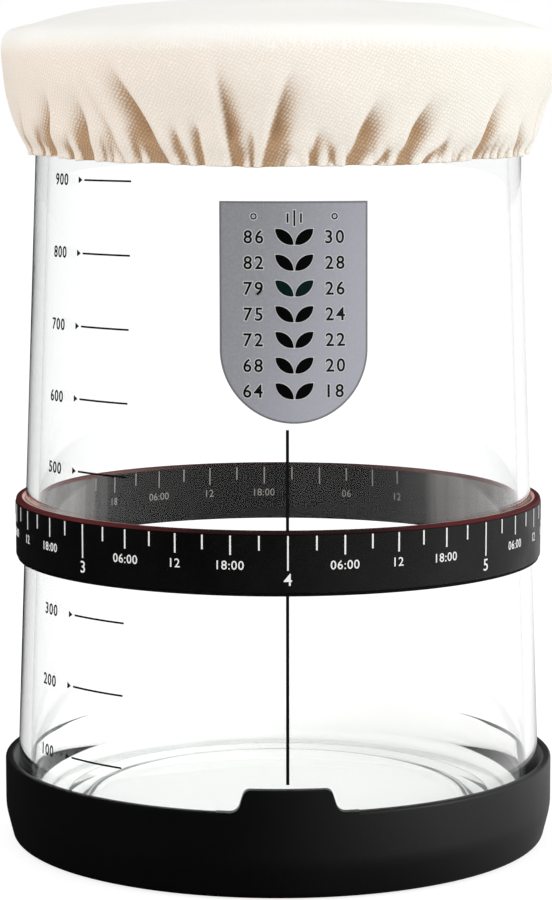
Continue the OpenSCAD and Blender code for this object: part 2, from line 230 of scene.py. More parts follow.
def glyphs(text, height, bold=0.0, spacing=1.0):
    """Points (x, y, layer) and faces of a number of that digit height, in mm."""
    curve = bpy.data.curves.new("digits", "FONT")
    curve.body = text
    curve.extrude = 0.05
    curve.offset = bold
    curve.space_character = spacing
    curve.resolution_u = 3
    letter = bpy.data.objects.new("digits", curve)
    bpy.context.scene.collection.objects.link(letter)
    view = bpy.context.evaluated_depsgraph_get()
    mesh = bpy.data.meshes.new_from_object(letter.evaluated_get(view))
    co = np.array([v.co for v in mesh.vertices], float)
    faces = [list(p.vertices) for p in mesh.polygons]
    bpy.data.objects.remove(letter)
    bpy.data.curves.remove(curve)
    bpy.data.meshes.remove(mesh)
    co[:, :2] *= height / FONT_DIGIT
    co[:, 0] -= (co[:, 0].min() + co[:, 0].max()) / 2
    co[:, 1] -= height / 2
    co[:, 2] = (co[:, 2] > 0).astype(float)
    return co, faces


def bar(width, height, steps=6):
    """A grid that covers a bar, middle at the origin."""
    across = np.linspace(-width / 2, width / 2, 3)
    up = np.linspace(-height / 2, height / 2, steps)
    return [[(x, y) for x in across] for y in up]


def leaf(side, grow, steps=14):
    """A grid that covers a leaf; side is 1 for the right one; grow widens it all round."""
    tilt = math.radians(LEAF_TILT)
    rows = []
    for t in np.linspace(-1, 1, steps):
        along = LEAF_LENGTH / 2 + t * (LEAF_LENGTH / 2 + 1.4 * grow)
        half = (LEAF_W / 2 + grow) * max(0.0, 1 - t * t)
        row = []
        for s in (-1, -0.5, 0, 0.5, 1):
            x = STEM_HALF + along * math.cos(tilt) - s * half * math.sin(tilt)
            y = along * math.sin(tilt) + s * half * math.cos(tilt)
            row.append((side * x, y))
        rows.append(row)
    return rows


def wedge(length, height, steps=5):
    """A grid that covers a triangle that points right."""
    rows = []
    for t in np.linspace(0, 1, steps):
        half = height / 2 * (1 - t)
        rows.append([(-length / 2 + length * t, s * half) for s in (-1, 0, 1)])
    return rows


def ring(outer, inner, steps=20):
    """A grid that covers a ring."""
    rows = []
    for k in range(steps + 1):
        turn = 2 * math.pi * k / steps
        rows.append([(r * math.cos(turn), r * math.sin(turn)) for r in (inner, outer)])
    return rows


# Shader helpers
def new_material(name):
    """A material, its node tree and its Principled shader."""
    material = bpy.data.materials.new(name)
    material.use_nodes = True
    return material, material.node_tree, material.node_tree.nodes["Principled BSDF"]


def feed(tree, socket, value):
    """Links an output to a socket, or sets the socket to a number or a colour."""
    if isinstance(value, bpy.types.NodeSocket):
        tree.links.new(value, socket)
    elif hasattr(value, "__len__") and len(value) == 3 and len(socket.default_value) == 4:
        socket.default_value = (*value, 1)
    else:
        socket.default_value = value


def add(tree, kind, inputs=None, **settings):
    """A new shader node with its inputs and settings."""
    node = tree.nodes.new("ShaderNode" + kind)
    for key, value in settings.items():
        setattr(node, key, value)
    for key, value in (inputs or {}).items():
        feed(tree, node.inputs[key], value)
    return node


def maths(tree, operation, a, b=0.0, c=0.0):
    return add(tree, "Math", {0: a, 1: b, 2: c}, operation=operation).outputs[0]


def step(tree, value, low, high, out_low=0.0, out_high=1.0):
    """A smooth change from out_low to out_high as value goes from low to high."""
    inputs = {0: value, 1: low, 2: high, 3: out_low, 4: out_high}
    return add(tree, "MapRange", inputs, interpolation_type="SMOOTHSTEP").outputs[0]


def mix(tree, factor, a, b):
    """A colour between a and b."""
    return add(tree, "Mix", {0: factor, 6: a, 7: b}, data_type="RGBA").outputs[2]


def mix_level(tree, factor, a, b):
    """A number between a and b."""
    return add(tree, "MapRange", {0: factor, 1: 0.0, 2: 1.0, 3: a, 4: b}).outputs[0]


def noise(tree, vector, scale, detail=3.0, roughness=0.5):
    inputs = {"Vector": vector, "Scale": scale, "Detail": detail, "Roughness": roughness}
    return add(tree, "TexNoise", inputs).outputs["Fac"]


def bump(tree, shader, height, distance, strength=1.0):
    inputs = {"Height": height, "Distance": distance, "Strength": strength}
    feed(tree, shader.inputs["Normal"], add(tree, "Bump", inputs).outputs[0])


def spot(tree):
    """Object coordinates, in metres."""
    return add(tree, "TexCoord").outputs["Object"]


def place(tree):
    """Object coordinates, in metres, and each of the three."""
    vector = spot(tree)
    xyz = add(tree, "SeparateXYZ", {0: vector})
    return vector, xyz.outputs[0], xyz.outputs[1], xyz.outputs[2]


def arc_length(tree, x, y, radius):
    """Distance round the axis from the front at a radius, in metres."""
    turn = maths(tree, "ARCTAN2", x, maths(tree, "MULTIPLY", y, -1.0))
    return maths(tree, "MULTIPLY", turn, radius)


def seen_rays(tree):
    """1 for rays from the camera and for those that glass lets through."""
    path = add(tree, "LightPath").outputs
    return maths(tree, "MAXIMUM", path["Is Camera Ray"], path["Is Transmission Ray"])


def gloss_rays(tree):
    """1 for rays that a glossy surface sends on."""
    return add(tree, "LightPath").outputs["Is Glossy Ray"]


def shade(shader, tree, **values):
    """Sets or links the Principled shader's inputs by name."""
    for key, value in values.items():
        feed(tree, shader.inputs[key.replace("_", " ")], value)


def dress(node, material):
    """Gives a CAD node or a new piece its material."""
    node.data.materials.clear()
    node.data.materials.append(material)


def from_axis(tree, x, y):
    """Distance from the jar's axis, in metres."""
    squares = maths(tree, "ADD", maths(tree, "MULTIPLY", x, x), maths(tree, "MULTIPLY", y, y))
    return maths(tree, "SQRT", squares)


# Materials
def painted_glow_mask(tree, x, y, z):
    """1 where the sleeve's inside is painted near white and made to glow: on its floor and its
    bore, and over the inner half of its far rim.
    """
    rim_from_z = 0.013
    rim_reach = 1.24 * MM
    bore_r = (SLEEVE_BORE_R + 0.06) * MM
    underside_z = 0.0024
    near_top_z = 0.0095
    far_top_z = 0.025
    radius = from_axis(tree, x, y)
    on_rim = maths(tree, "GREATER_THAN", z, rim_from_z)
    rim_share = step(tree, y, 0.022, 0.04, 0.0, rim_reach)
    limit = maths(tree, "MULTIPLY_ADD", on_rim, rim_share, bore_r)
    inside = maths(tree, "LESS_THAN", radius, limit)
    over_floor = maths(tree, "GREATER_THAN", z, underside_z)
    under_edge = maths(tree, "LESS_THAN", z, step(tree, y, 0.004, 0.011, near_top_z, far_top_z))
    return maths(tree, "MULTIPLY", inside, maths(tree, "MULTIPLY", over_floor, under_edge))


def silicone_material():
    """Matte black silicone with a soft, slightly dusty skin, and an inside painted near white
    that glows a little, a painted light, because the photograph's glass is almost white down to
    its foot."""
    glow = 0.52
    material, tree, shader = new_material("matte_black_silicone")
    at, x, y, z = place(tree)
    patches = noise(tree, at, 35.0)
    grain = noise(tree, at, 2600.0, 2.0)
    skin = mix(tree, patches, (0.0012, 0.0013, 0.0016), (0.0022, 0.0023, 0.0028))
    dust = step(tree, grain, 0.62, 0.8, 0.0, 0.35)
    black = mix(tree, dust, skin, (0.008, 0.008, 0.01))
    # Painted light: the inside, which is black silicone, is painted near white and glows
    painted_glow = painted_glow_mask(tree, x, y, z)
    shade(shader, tree, Base_Color=mix(tree, painted_glow, black, (0.96, 0.96, 0.95)))
    shade(shader, tree, Roughness=step(tree, patches, 0.3, 0.7, 0.4, 0.5))
    shade(shader, tree, Specular_IOR_Level=0.32)
    shade(shader, tree, Emission_Color=(1.0, 1.0, 1.0))
    shade(shader, tree, Emission_Strength=maths(tree, "MULTIPLY", painted_glow, glow))
    height = maths(tree, "MULTIPLY_ADD", patches, 0.4, grain)
    bump(tree, shader, height, 0.00003, 0.5)
    return material


def glass_material():
    """Clear glass with painted shade, grey where its wall is seen edge on, that casts no shadow.
    """
    clear_to_z = 0.013
    grey_from_z = 0.024
    material, tree, shader = new_material("clear_jar_glass")
    facing = add(tree, "LayerWeight", {"Blend": 0.5}).outputs["Facing"]
    at, _, _, z = place(tree)
    # Painted shade: grey is painted where the wall is seen edge on, except low down
    edge = step(tree, facing, 0.8, 0.98)
    edge = maths(tree, "MULTIPLY", edge, step(tree, z, clear_to_z, grey_from_z))
    shade(shader, tree, Base_Color=mix(tree, edge, (0.998, 1.0, 0.998), (0.36, 0.375, 0.37)))
    shade(shader, tree, Roughness=0.0, IOR=1.5, Transmission_Weight=1.0)
    shade(shader, tree, Specular_Tint=(0.15, 0.15, 0.15))
    ripple = noise(tree, at, 24.0, 1.0)
    bump(tree, shader, ripple, 0.0002, 0.35)
    clear = add(tree, "BsdfTransparent")
    shadow = add(tree, "LightPath").outputs["Is Shadow Ray"]
    both = add(tree, "MixShader", {0: shadow, 1: shader.outputs[0], 2: clear.outputs[0]})
    feed(tree, tree.nodes["Material Output"].inputs["Surface"], both.outputs[0])
    tint = add(tree, "VolumeAbsorption", {"Color": (0.62, 0.68, 0.66), "Density": 22.0})
    feed(tree, tree.nodes["Material Output"].inputs["Volume"], tint.outputs[0])
    return material


def ink_material(name, colour, worn, gloss=0.4):
    """Printed ink, a little thin in places."""
    material, tree, shader = new_material(name)
    at = spot(tree)
    thin = noise(tree, at, 900.0, 4.0, 0.6)
    fade = step(tree, thin, 0.5, 0.8, 0.0, 0.5)
    shade(shader, tree, Base_Color=mix(tree, fade, colour, worn))
    shade(shader, tree, Roughness=step(tree, thin, 0.3, 0.8, 0.4, 0.6))
    shade(shader, tree, Specular_IOR_Level=gloss)
    bump(tree, shader, thin, 0.00001, 0.5)
    return material


def backing_material():
    """The sticker's grey backing, which shows as its border."""
    material, tree, shader = new_material("sticker_backing")
    at = spot(tree)
    grain = noise(tree, at, 1500.0)
    shade(shader, tree, Base_Color=mix(tree, grain, (0.14, 0.14, 0.155), (0.2, 0.2, 0.22)))
    shade(shader, tree, Roughness=0.5)
    bump(tree, shader, grain, 0.00001, 0.4)
    return material


def film_material():
    """Grey plastic film with fine print grain and a faint bluish sheen painted into its colour.
    """
    material, tree, shader = new_material("sticker_film")
    at, x, _, z = place(tree)
    grain = noise(tree, at, 2200.0, 2.0)
    cloud = noise(tree, at, 60.0, 2.0)
    # Painted sheen: darker at its upper left, lighter and bluer at its lower right
    across = maths(tree, "MULTIPLY_ADD", x, 22.0, maths(tree, "MULTIPLY", z, -10.0))
    lean = step(tree, maths(tree, "MULTIPLY_ADD", cloud, 0.1, across), -1.45, -0.65)
    colour = mix(tree, lean, (0.235, 0.245, 0.265), (0.34, 0.345, 0.4))
    speck = mix(tree, step(tree, grain, 0.35, 0.7), colour, (0.41, 0.415, 0.44))
    shade(shader, tree, Base_Color=mix(tree, 0.2, colour, speck))
    shade(shader, tree, Roughness=step(tree, cloud, 0.3, 0.7, 0.32, 0.42))
    shade(shader, tree, Coat_Weight=0.15)
    bump(tree, shader, grain, 0.000012, 0.4)
    return material


def cell_material():
    """Black liquid crystal; the cells of one row show dark green."""
    lit_row = 2
    material, tree, shader = new_material("liquid_crystal")
    at, _, _, z = place(tree)
    low = (STRIP_TOP_Z - LEAF_FIRST_DROP - LEAF_STEP * (lit_row + 0.5)) * MM
    high = low + LEAF_STEP * MM
    above = maths(tree, "GREATER_THAN", z, low)
    below = maths(tree, "LESS_THAN", z, high)
    lit = maths(tree, "MULTIPLY", above, below)
    grain = noise(tree, at, 1400.0)
    green = mix(tree, grain, (0.0012, 0.008, 0.008), (0.003, 0.014, 0.0135))
    black = mix(tree, grain, (0.0008, 0.0008, 0.001), (0.0016, 0.0016, 0.002))
    shade(shader, tree, Base_Color=mix(tree, lit, black, green))
    shade(shader, tree, Roughness=step(tree, grain, 0.3, 0.7, 0.35, 0.45))
    shade(shader, tree, Specular_IOR_Level=0.04)
    bump(tree, shader, grain, 0.00001, 0.4)
    return material


def liner_material():
    """The inner ring: maroon along its upper lip with a painted rosy highlight on its inner
    edge, smoky grey inside with painted reflections.
    """
    material, tree, shader = new_material("inner_ring")
    at, x, y, z = place(tree)
    # Distance outwards from the ring's inner face, in metres
    inner_r = liner_bore(BAND_TOP_Z) * MM
    into = maths(tree, "SUBTRACT", from_axis(tree, x, y), inner_r)
    lip = step(tree, z, (BAND_TOP_Z - 0.75) * MM, (BAND_TOP_Z - 0.5) * MM)
    streak = noise(tree, at, 140.0, 3.0)
    # Painted light: towards the front the lip is painted darker, and the painted rosy highlight
    # on its inner edge fades out
    aside = step(tree, maths(tree, "ABSOLUTE", x), 0.012, 0.036)
    maroon = mix(tree, streak, (0.075, 0.012, 0.014), (0.12, 0.024, 0.026))
    lip_with_painted_shade = mix(tree, aside, (0.02, 0.008, 0.009), maroon)
    # Painted highlight on the inner edge: wider and stronger on the near half, narrow and faint
    # behind
    wide = step(tree, y, 0.0, 0.02, 0.4, 0.12)
    share = maths(tree, "DIVIDE", into, maths(tree, "MULTIPLY", wide, MM))
    edge = step(tree, share, 0.8, 1.3, 1.0, 0.0)
    near = step(tree, y, -0.004, 0.012, 1.0, 0.1)
    painted_highlight = maths(tree, "MULTIPLY", edge, maths(tree, "MULTIPLY", aside, near))
    # The lip: maroon, painted darker towards the front, with the painted highlight along its
    # inner edge
    rim = mix(tree, painted_highlight, lip_with_painted_shade, (0.85, 0.5, 0.44))
    # Inside, upright streaks: dark behind the middle, paler towards both sides, where
    # reflections are painted in
    turn = maths(tree, "ARCTAN2", x, y)
    around = add(tree, "CombineXYZ", {0: maths(tree, "MULTIPLY", turn, 9.0)}).outputs[0]
    bands = noise(tree, around, 1.0, 2.0)
    shifted = maths(tree, "ABSOLUTE", maths(tree, "ADD", turn, 0.07))
    pale = step(tree, maths(tree, "MULTIPLY_ADD", bands, 0.3, shifted), 0.86, 1.1)
    dark = mix(tree, streak, (0.008, 0.008, 0.008), (0.022, 0.021, 0.021))
    painted_reflection = mix(tree, bands, (0.12, 0.11, 0.11), (0.4, 0.38, 0.38))
    grey = mix(tree, pale, dark, painted_reflection)
    within = step(tree, into, 0.0004, 0.0006, 1.0, 0.0)
    body = mix(tree, within, (0.004, 0.004, 0.005), grey)
    shade(shader, tree, Base_Color=mix(tree, lip, body, rim))
    shade(shader, tree, Roughness=step(tree, streak, 0.3, 0.7, 0.55, 0.68))
    shade(shader, tree, Specular_IOR_Level=0.04)
    bump(tree, shader, streak, 0.00002, 0.3)
    return material


def band_material():
    """Black rubber with a fine slanting grain."""
    pitch = 0.00062
    material, tree, shader = new_material("black_dial_rubber")
    at, x, y, z = place(tree)
    arc = arc_length(tree, x, y, DIAL_R * MM)
    wander = noise(tree, at, 300.0, 2.0)
    slant = maths(tree, "MULTIPLY_ADD", z, 1.7, arc)
    turns = maths(tree, "MULTIPLY_ADD", wander, 2.2, maths(tree, "DIVIDE", slant, pitch))
    wave = maths(tree, "SINE", maths(tree, "MULTIPLY", turns, math.pi * 2))
    groove = step(tree, wave, -0.6, 0.9)
    patches = noise(tree, at, 90.0, 3.0)
    depth = maths(tree, "MULTIPLY", groove, step(tree, patches, 0.3, 0.6, 0.35, 1.0))
    colour = mix(tree, depth, (0.0015, 0.0015, 0.0018), (0.0055, 0.0055, 0.0065))
    shade(shader, tree, Base_Color=colour)
    shade(shader, tree, Roughness=step(tree, patches, 0.3, 0.7, 0.36, 0.48))
    shade(shader, tree, Specular_IOR_Level=0.16)
    bump(tree, shader, depth, 0.0001, 0.8)
    return material


def wood_material():
    """Oiled wood: the growth rings run across the lid, with short pores along the grain."""
    material, tree, shader = new_material("oiled_beech")
    at = spot(tree)
    long_grain = add(tree, "Mapping", {"Vector": at, "Scale": (6.0, 60.0, 60.0)}).outputs[0]
    figure = noise(tree, long_grain, 3.0, 4.0, 0.6)
    rings = add(tree, "TexWave", {"Vector": at, "Scale": 42.0, "Distortion": 5.0,
                                  "Detail": 3.0, "Detail Scale": 1.2}, bands_direction="Y")
    pore_map = add(tree, "Mapping", {"Vector": at, "Scale": (120.0, 1500.0, 1500.0)}).outputs[0]
    pores = step(tree, noise(tree, pore_map, 1.0, 2.0), 0.56, 0.7)
    light = mix(tree, figure, (0.5, 0.31, 0.16), (0.66, 0.45, 0.26))
    late = maths(tree, "MULTIPLY", rings.outputs["Fac"], 0.55)
    banded = mix(tree, late, light, (0.4, 0.23, 0.11))
    colour = mix(tree, maths(tree, "MULTIPLY", pores, 0.55), banded, (0.25, 0.13, 0.06))
    shade(shader, tree, Base_Color=colour)
    shade(shader, tree, Roughness=step(tree, figure, 0.3, 0.7, 0.42, 0.58))
    height = maths(tree, "MULTIPLY_ADD", pores, -1.0, figure)
    bump(tree, shader, height, 0.00005, 0.5)
    return material


def seal_material():
    """Soft translucent silicone with fine moulding lines."""
    line_pitch = 0.00045
    material, tree, shader = new_material("clear_seal_silicone")
    at, _, _, z = place(tree)
    cloud = noise(tree, at, 120.0)
    lines = maths(tree, "SINE", maths(tree, "MULTIPLY", z, 2 * math.pi / line_pitch))
    colour = mix(tree, cloud, (0.7, 0.71, 0.69), (0.82, 0.82, 0.8))
    shade(shader, tree, Base_Color=colour)
    shade(shader, tree, Roughness=step(tree, cloud, 0.3, 0.7, 0.35, 0.5))
    shade(shader, tree, Subsurface_Weight=0.25, Subsurface_Scale=0.002)
    bump(tree, shader, lines, 0.00001, 0.3)
    return material


def elastic_material():
    """Knitted elastic: upright ribs crossed by rows of stitches."""
    elastic_r = 0.0483
    rib_pitch = 0.0009
    row_pitch = 0.0006
    material, tree, shader = new_material("knitted_elastic")
    _, x, y, z = place(tree)
    arc = arc_length(tree, x, y, elastic_r)
    ribs = maths(tree, "SINE", maths(tree, "MULTIPLY", arc, 2 * math.pi / rib_pitch))
    rows = maths(tree, "SINE", maths(tree, "MULTIPLY", z, 2 * math.pi / row_pitch))
    knit = maths(tree, "MULTIPLY", ribs, rows)
    level = step(tree, knit, -1.0, 1.0)
    shade(shader, tree, Base_Color=mix(tree, level, (0.62, 0.58, 0.5), (0.86, 0.83, 0.76)))
    shade(shader, tree, Roughness=step(tree, level, 0.0, 1.0, 0.95, 0.8))
    bump(tree, shader, level, 0.00008, 0.8)
    return material


def threads(tree, along, pitch, wander):
    """Waves across a direction, from 0 to 1, that a noise pushes about."""
    turns = maths(tree, "MULTIPLY_ADD", wander, 2.2, maths(tree, "DIVIDE", along, pitch))
    wave = maths(tree, "SINE", maths(tree, "MULTIPLY", turns, 2 * math.pi))
    return step(tree, wave, -1.0, 1.0)


def twill(tree, u, v, wander):
    """A crepe's height at u, v: slanting ribs, cut into grains by a cross wave."""
    rib_pitch = 0.00062
    cut_pitch = 0.00066
    along_rib = maths(tree, "SUBTRACT", maths(tree, "MULTIPLY", u, 0.82),
                      maths(tree, "MULTIPLY", v, 0.57))
    along_cut = maths(tree, "ADD", maths(tree, "MULTIPLY", u, 0.34),
                      maths(tree, "MULTIPLY", v, 0.94))
    ribs = threads(tree, along_rib, rib_pitch, wander)
    cuts = threads(tree, along_cut, cut_pitch, wander)
    return maths(tree, "MULTIPLY", ribs, maths(tree, "MULTIPLY_ADD", cuts, 0.85, 0.15))


def cotton_material():
    """Unbleached cotton crepe: slanting grain and slubs, painted warm shade in its folds, a top
    painted lighter and painted warm light towards its left.
    """
    side_r = 0.053
    side_to_z = 0.1545
    top_from_z = 0.1595
    material, tree, shader = new_material("cotton_crepe")
    at, x, y, z = place(tree)
    arc = arc_length(tree, x, y, side_r)
    wander = noise(tree, at, 340.0, 2.5)
    over = step(tree, z, side_to_z, top_from_z)
    side = twill(tree, arc, z, wander)
    top = twill(tree, x, y, wander)
    weave = maths(tree, "MULTIPLY_ADD", maths(tree, "SUBTRACT", top, side), over, side)
    slub = noise(tree, at, 800.0, 3.0, 0.65)
    cloud = noise(tree, at, 32.0, 3.0)
    # Painted shade: how deep each point lies in the folds darkens and warms its colour there
    fold = add(tree, "Attribute", attribute_name="fold").outputs["Fac"]
    deep = step(tree, fold, 0.03, 0.95)
    # The side is creamy, with painted warm light towards its left; the top is painted lighter,
    # as if lit from above, with faint streaks
    painted_warm_light = step(tree, maths(tree, "MULTIPLY_ADD", cloud, -0.03, x), -0.07, 0.03)
    cream_with_painted_warmth = mix(tree, painted_warm_light, (0.96, 0.875, 0.785), (0.975, 0.95, 0.88))
    long_way = add(tree, "Mapping", {"Vector": at, "Rotation": (0.0, 0.0, 0.5),
                                     "Scale": (14.0, 60.0, 14.0)}).outputs[0]
    streaks = step(tree, noise(tree, long_way, 1.0, 2.0), 0.4, 0.7)
    painted_lit_top = mix(tree, streaks, (0.955, 0.96, 0.935), (0.915, 0.92, 0.885))
    plain = mix(tree, over, cream_with_painted_warmth, painted_lit_top)
    base = mix(tree, maths(tree, "MULTIPLY", slub, 0.25), plain, (0.88, 0.82, 0.74))
    # Painted crease shade: tan towards the bottom of the folds
    tan = mix(tree, slub, (0.4, 0.235, 0.12), (0.6, 0.4, 0.24))
    narrow = maths(tree, "POWER", deep, 1.2)
    warm = mix(tree, maths(tree, "MULTIPLY", narrow, 0.95), base, tan)
    # The weave's gaps show darker: a little on the side, much more in the folds as painted
    # shade, and hardly at all on the top, which is painted lighter
    gaps = step(tree, weave, 0.05, 0.45, 1.0, 0.0)
    strength = step(tree, deep, 0.0, 0.8, 0.17, 0.75)
    shown = maths(tree, "MULTIPLY", strength, step(tree, over, 0.0, 1.0, 1.0, 0.12))
    weave_gaps_and_painted_shade = maths(tree, "MULTIPLY", gaps, shown)
    shade(shader, tree, Base_Color=mix(tree, weave_gaps_and_painted_shade, warm, (0.38, 0.23, 0.12)))
    shade(shader, tree, Roughness=step(tree, slub, 0.3, 0.7, 0.86, 0.96))
    shade(shader, tree, Specular_IOR_Level=0.2, Sheen_Weight=0.1, Sheen_Roughness=0.6)
    relief = maths(tree, "MULTIPLY", maths(tree, "MULTIPLY_ADD", slub, 0.5, weave),
                   step(tree, over, 0.0, 1.0, 1.0, 0.35))
    bump(tree, shader, relief, 0.00014, 0.6)
    return material


# Pieces that the scene adds or stands in for
def build_glass():
    """The glass jar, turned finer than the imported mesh, because it shows refraction."""
    ring_r = GLASS_FOOT_R - GLASS_CORNER - FOOT_RING_W
    floor_z = GLASS_Z + GLASS_FLOOR
    rim_round = GLASS_WALL * 0.48
    slope = 6
    slope_round = 10
    ring_round = 2
    outline = rounded([
        (0, GLASS_Z + PUSH_UP, 0),
        (ring_r - slope, GLASS_Z + PUSH_UP, slope_round),
        (ring_r, GLASS_Z, ring_round),
        (GLASS_FOOT_R, GLASS_Z, GLASS_CORNER),
        (GLASS_MOUTH_R, RIM_Z, rim_round),
        (GLASS_MOUTH_R - GLASS_WALL, RIM_Z, rim_round),
        (glass_r(floor_z) - GLASS_WALL, floor_z, GLASS_CORNER),
        (0, floor_z, 0)])
    jar = lathe("jar_glass", supported(outline), "jar", 288)
    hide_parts("glass_jar")
    dress(jar, glass_material())


def build_volume_numbers(ink):
    """Numbers and pointers printed on the glass."""
    height = 2.1
    bold = 0.012
    spacing = 1.15
    number_deg = -60.5
    pointer = wedge(1.1, 1.25)
    pointer_deg = -52.5
    prints = Prints(glass_r, 0.0, 0.06)
    for i in range(MARK_COUNT):
        z = FIRST_MARK_Z + MARK_STEP * i
        flat, faces = glyphs(str(100 * (i + 1)), height, bold, spacing)
        prints.add(flat, faces, number_deg, z)
        prints.grid(pointer, pointer_deg, z)
    dress(prints.piece("volume_numbers", "jar", "black_ink"), ink)


def strip_surface(z):
    """Radius of the thermometer strip's face, which is film on backing, in mm."""
    return glass_r(z) + 2 * FILM


def build_strip_prints(ink, outline_ink):
    """Two columns of numbers, the header's bars and rings, and pale outlines round them all."""
    column = 7.4
    height = 2.3
    bold = 0.014
    outline_bold = 0.058
    spacing = 1.22
    left = ["86", "82", "79", "75", "72", "68", "64"]
    right = ["30", "28", "26", "24", "22", "20", "18"]
    prints = Prints(strip_surface, 0.0, 0.05)
    halos = Prints(strip_surface, 0.0, 0.035)
    reach = math.degrees(column / strip_surface(STRIP_TOP_Z))
    rise = LEAF_LENGTH * math.sin(math.radians(LEAF_TILT)) / 2
    for row in range(LEAF_ROWS):
        z = STRIP_TOP_Z - LEAF_FIRST_DROP - LEAF_STEP * row
        for text, angle in ((left[row], -reach), (right[row], reach)):
            flat, faces = glyphs(text, height, bold, spacing)
            prints.add(flat, faces, STRIP_ANGLE + angle, z)
            flat, faces = glyphs(text, height, outline_bold, spacing)
            halos.add(flat, faces, STRIP_ANGLE + angle, z)
        for side in (-1, 1):
            halos.grid(leaf(side, 0.17), STRIP_ANGLE, z - rise)
    head_z = STRIP_TOP_Z - 2.7
    for x, tall in ((-1.22, 1.7), (0.02, 2.9), (1.22, 1.7)):
        angle = STRIP_ANGLE + math.degrees(x / strip_surface(head_z))
        prints.grid(bar(0.34, tall), angle, head_z)
        halos.grid(bar(0.66, tall + 0.3), angle, head_z)
    for angle in (-reach, reach):
        prints.grid(ring(0.6, 0.34), STRIP_ANGLE + angle, head_z + 0.3)
        halos.grid(ring(0.76, 0.2), STRIP_ANGLE + angle, head_z + 0.3)
    dress(prints.piece("strip_numbers", "jar", "black_ink"), ink)
    dress(halos.piece("leaf_outlines", "jar", "strip_film"), outline_ink)


def build_dial_numbers(white):
    """Numbers on the dial: the day under each long mark, and the hour under the middle ones."""
    day_height = 2.2
    day_drop = 1.7
    hour_height = 1.6
    bold = 0.004
    hours = {2: "06:00", 4: "12", 6: "18:00"}
    prints = Prints(lambda z: DIAL_R, 0.0, 0.06)
    for i in range(DAYS * DIVISIONS):
        angle = DAYS_ANGLE * (i / (DAYS * DIVISIONS) - (FRONT_DAY - 1) / DAYS)
        if i % DIVISIONS == 0:
            flat, faces = glyphs(str(i // DIVISIONS + 1), day_height, bold)
            prints.add(flat, faces, angle, TICK_TOP_Z - DAY_TICK - day_drop)
        elif i % DIVISIONS in hours:
            flat, faces = glyphs(hours[i % DIVISIONS], hour_height, bold, 1.08)
            prints.add(flat, faces, angle, TICK_TOP_Z - QUARTER_TICK - HOUR_DROP)
    dress(prints.piece("dial_numbers", "dial", "white_ink"), white)


def liner_bore(z):
    """Radius of the inner ring's inside at a height, in mm."""
    return glass_r(z) + BAND_GAP


def build_inner_marks(faint):
    """Faint marks inside the inner ring, which show through the glass at the back."""
    spacing = 7.0
    first = -50.6
    count = 13
    tick_w = 0.26
    hour_height = 1.5
    labels = {1: "18", 3: "06:00", 5: "12", 7: "18:00", 10: "06", 12: "12"}
    prints = Prints(liner_bore, 0.0, 0.04, inward=True)
    top_z = BAND_TOP_Z - 0.9
    for i in range(count):
        # The back is half a turn from the front, and its right is the front's left
        angle = 180 - first - spacing * i
        tall = QUARTER_TICK if i % 2 else SMALL_TICK
        prints.grid(bar(tick_w, tall), angle, top_z - tall / 2)
        if i in labels:
            flat, faces = glyphs(labels[i], hour_height, 0.0, 1.05)
            prints.add(flat, faces, angle, top_z - QUARTER_TICK - HOUR_DROP)
    dress(prints.piece("inner_ring_marks", "band_carrier", "white_ink"), faint)


# The cover. Each crease: angle at the hem and at its top, degrees to the right of the
# front; height above the hem and depth in mm; half widths in degrees, left and right
CREASES = [
    (-77, -74, 12, 2.2, 3.4, 1.0), (-68, -65, 8, 1.4, 2.4, 1.6),
    (-61, -57, 15, 2.6, 4.0, 0.9), (-54, -53, 6, 1.4, 1.0, 1.0),
    (-47, -47, 14, 2.4, 3.8, 1.2), (-43, -42, 6, 1.4, 1.0, 1.0),
    (-37, -46, 19, 0.9, 2.4, 1.2), (-33, -34, 7, 1.6, 1.2, 1.0),
    (-26.5, -38, 20, 3.4, 3.6, 0.8), (-22.5, -24.5, 8, 2.2, 1.4, 0.7),
    (-18.2, -19.3, 8.5, 2.8, 1.6, 0.6), (-11.2, -14, 20, 2.8, 0.8, 2.6),
    (-7.6, -7.4, 6.5, 2.2, 0.6, 1.1), (-4.6, 1.2, 19, 2.9, 0.8, 3.2),
    (4.9, 6.6, 6.5, 2.6, 0.6, 1.8), (8.5, 10, 4, 1.1, 0.8, 1.0),
    (13.2, 18.6, 13, 3.0, 0.8, 3.6), (19.5, 23, 3.6, 1.7, 0.7, 1.6),
    (24.6, 31, 13, 3.0, 0.8, 3.2), (31, 36, 4, 1.9, 0.7, 2.0), (41, 42, 4, 1.2, 1.0, 1.0),
    (46, 51, 15, 2.2, 1.2, 3.4), (56, 55, 5, 1.5, 1.2, 1.4), (64, 61, 9, 1.7, 1.2, 2.6),
    (76, 79, 14, 2.0, 2.0, 2.0)]
BACK_CREASES = 16
BACK_START = 88.0
BACK_STEP = 12.2
SMALL_GATHERS = 118
COLUMNS = 900
SIDE_ROWS = 96
TOP_ROWS = 34
CLOTH_T = 0.45
SHOULDER_Z = 161.0
FOLDS_END_Z = SHOULDER_Z + 1.5
TUCKS_END_H = 7

# Outline of the cover on its ridges, from the turned-under hem to the crown
RIDGE = [
    (48.64, 135.95), (48.78, 135.7), (49.02, 135.6), (49.22, 135.82), (49.36, 136.6),
    (49.8, 137.6), (50.45, 138.8), (51.1, 140.5), (51.7, 142.6), (52.6, 145.6), (53.7, 149.2),
    (54.3, 152.8), (54.4, 156.1), (53.9, 158.6), (52.8, 160.2), (50.8, 161.1),
    (48.4, 161.75), (44.6, 162.8), (39.4, 164.0), (34.1, 164.9), (28.9, 165.4),
    (23.7, 165.8), (16.8, 166.05), (8.0, 166.2), (2.0, 166.25), (0.0, 166.25)]


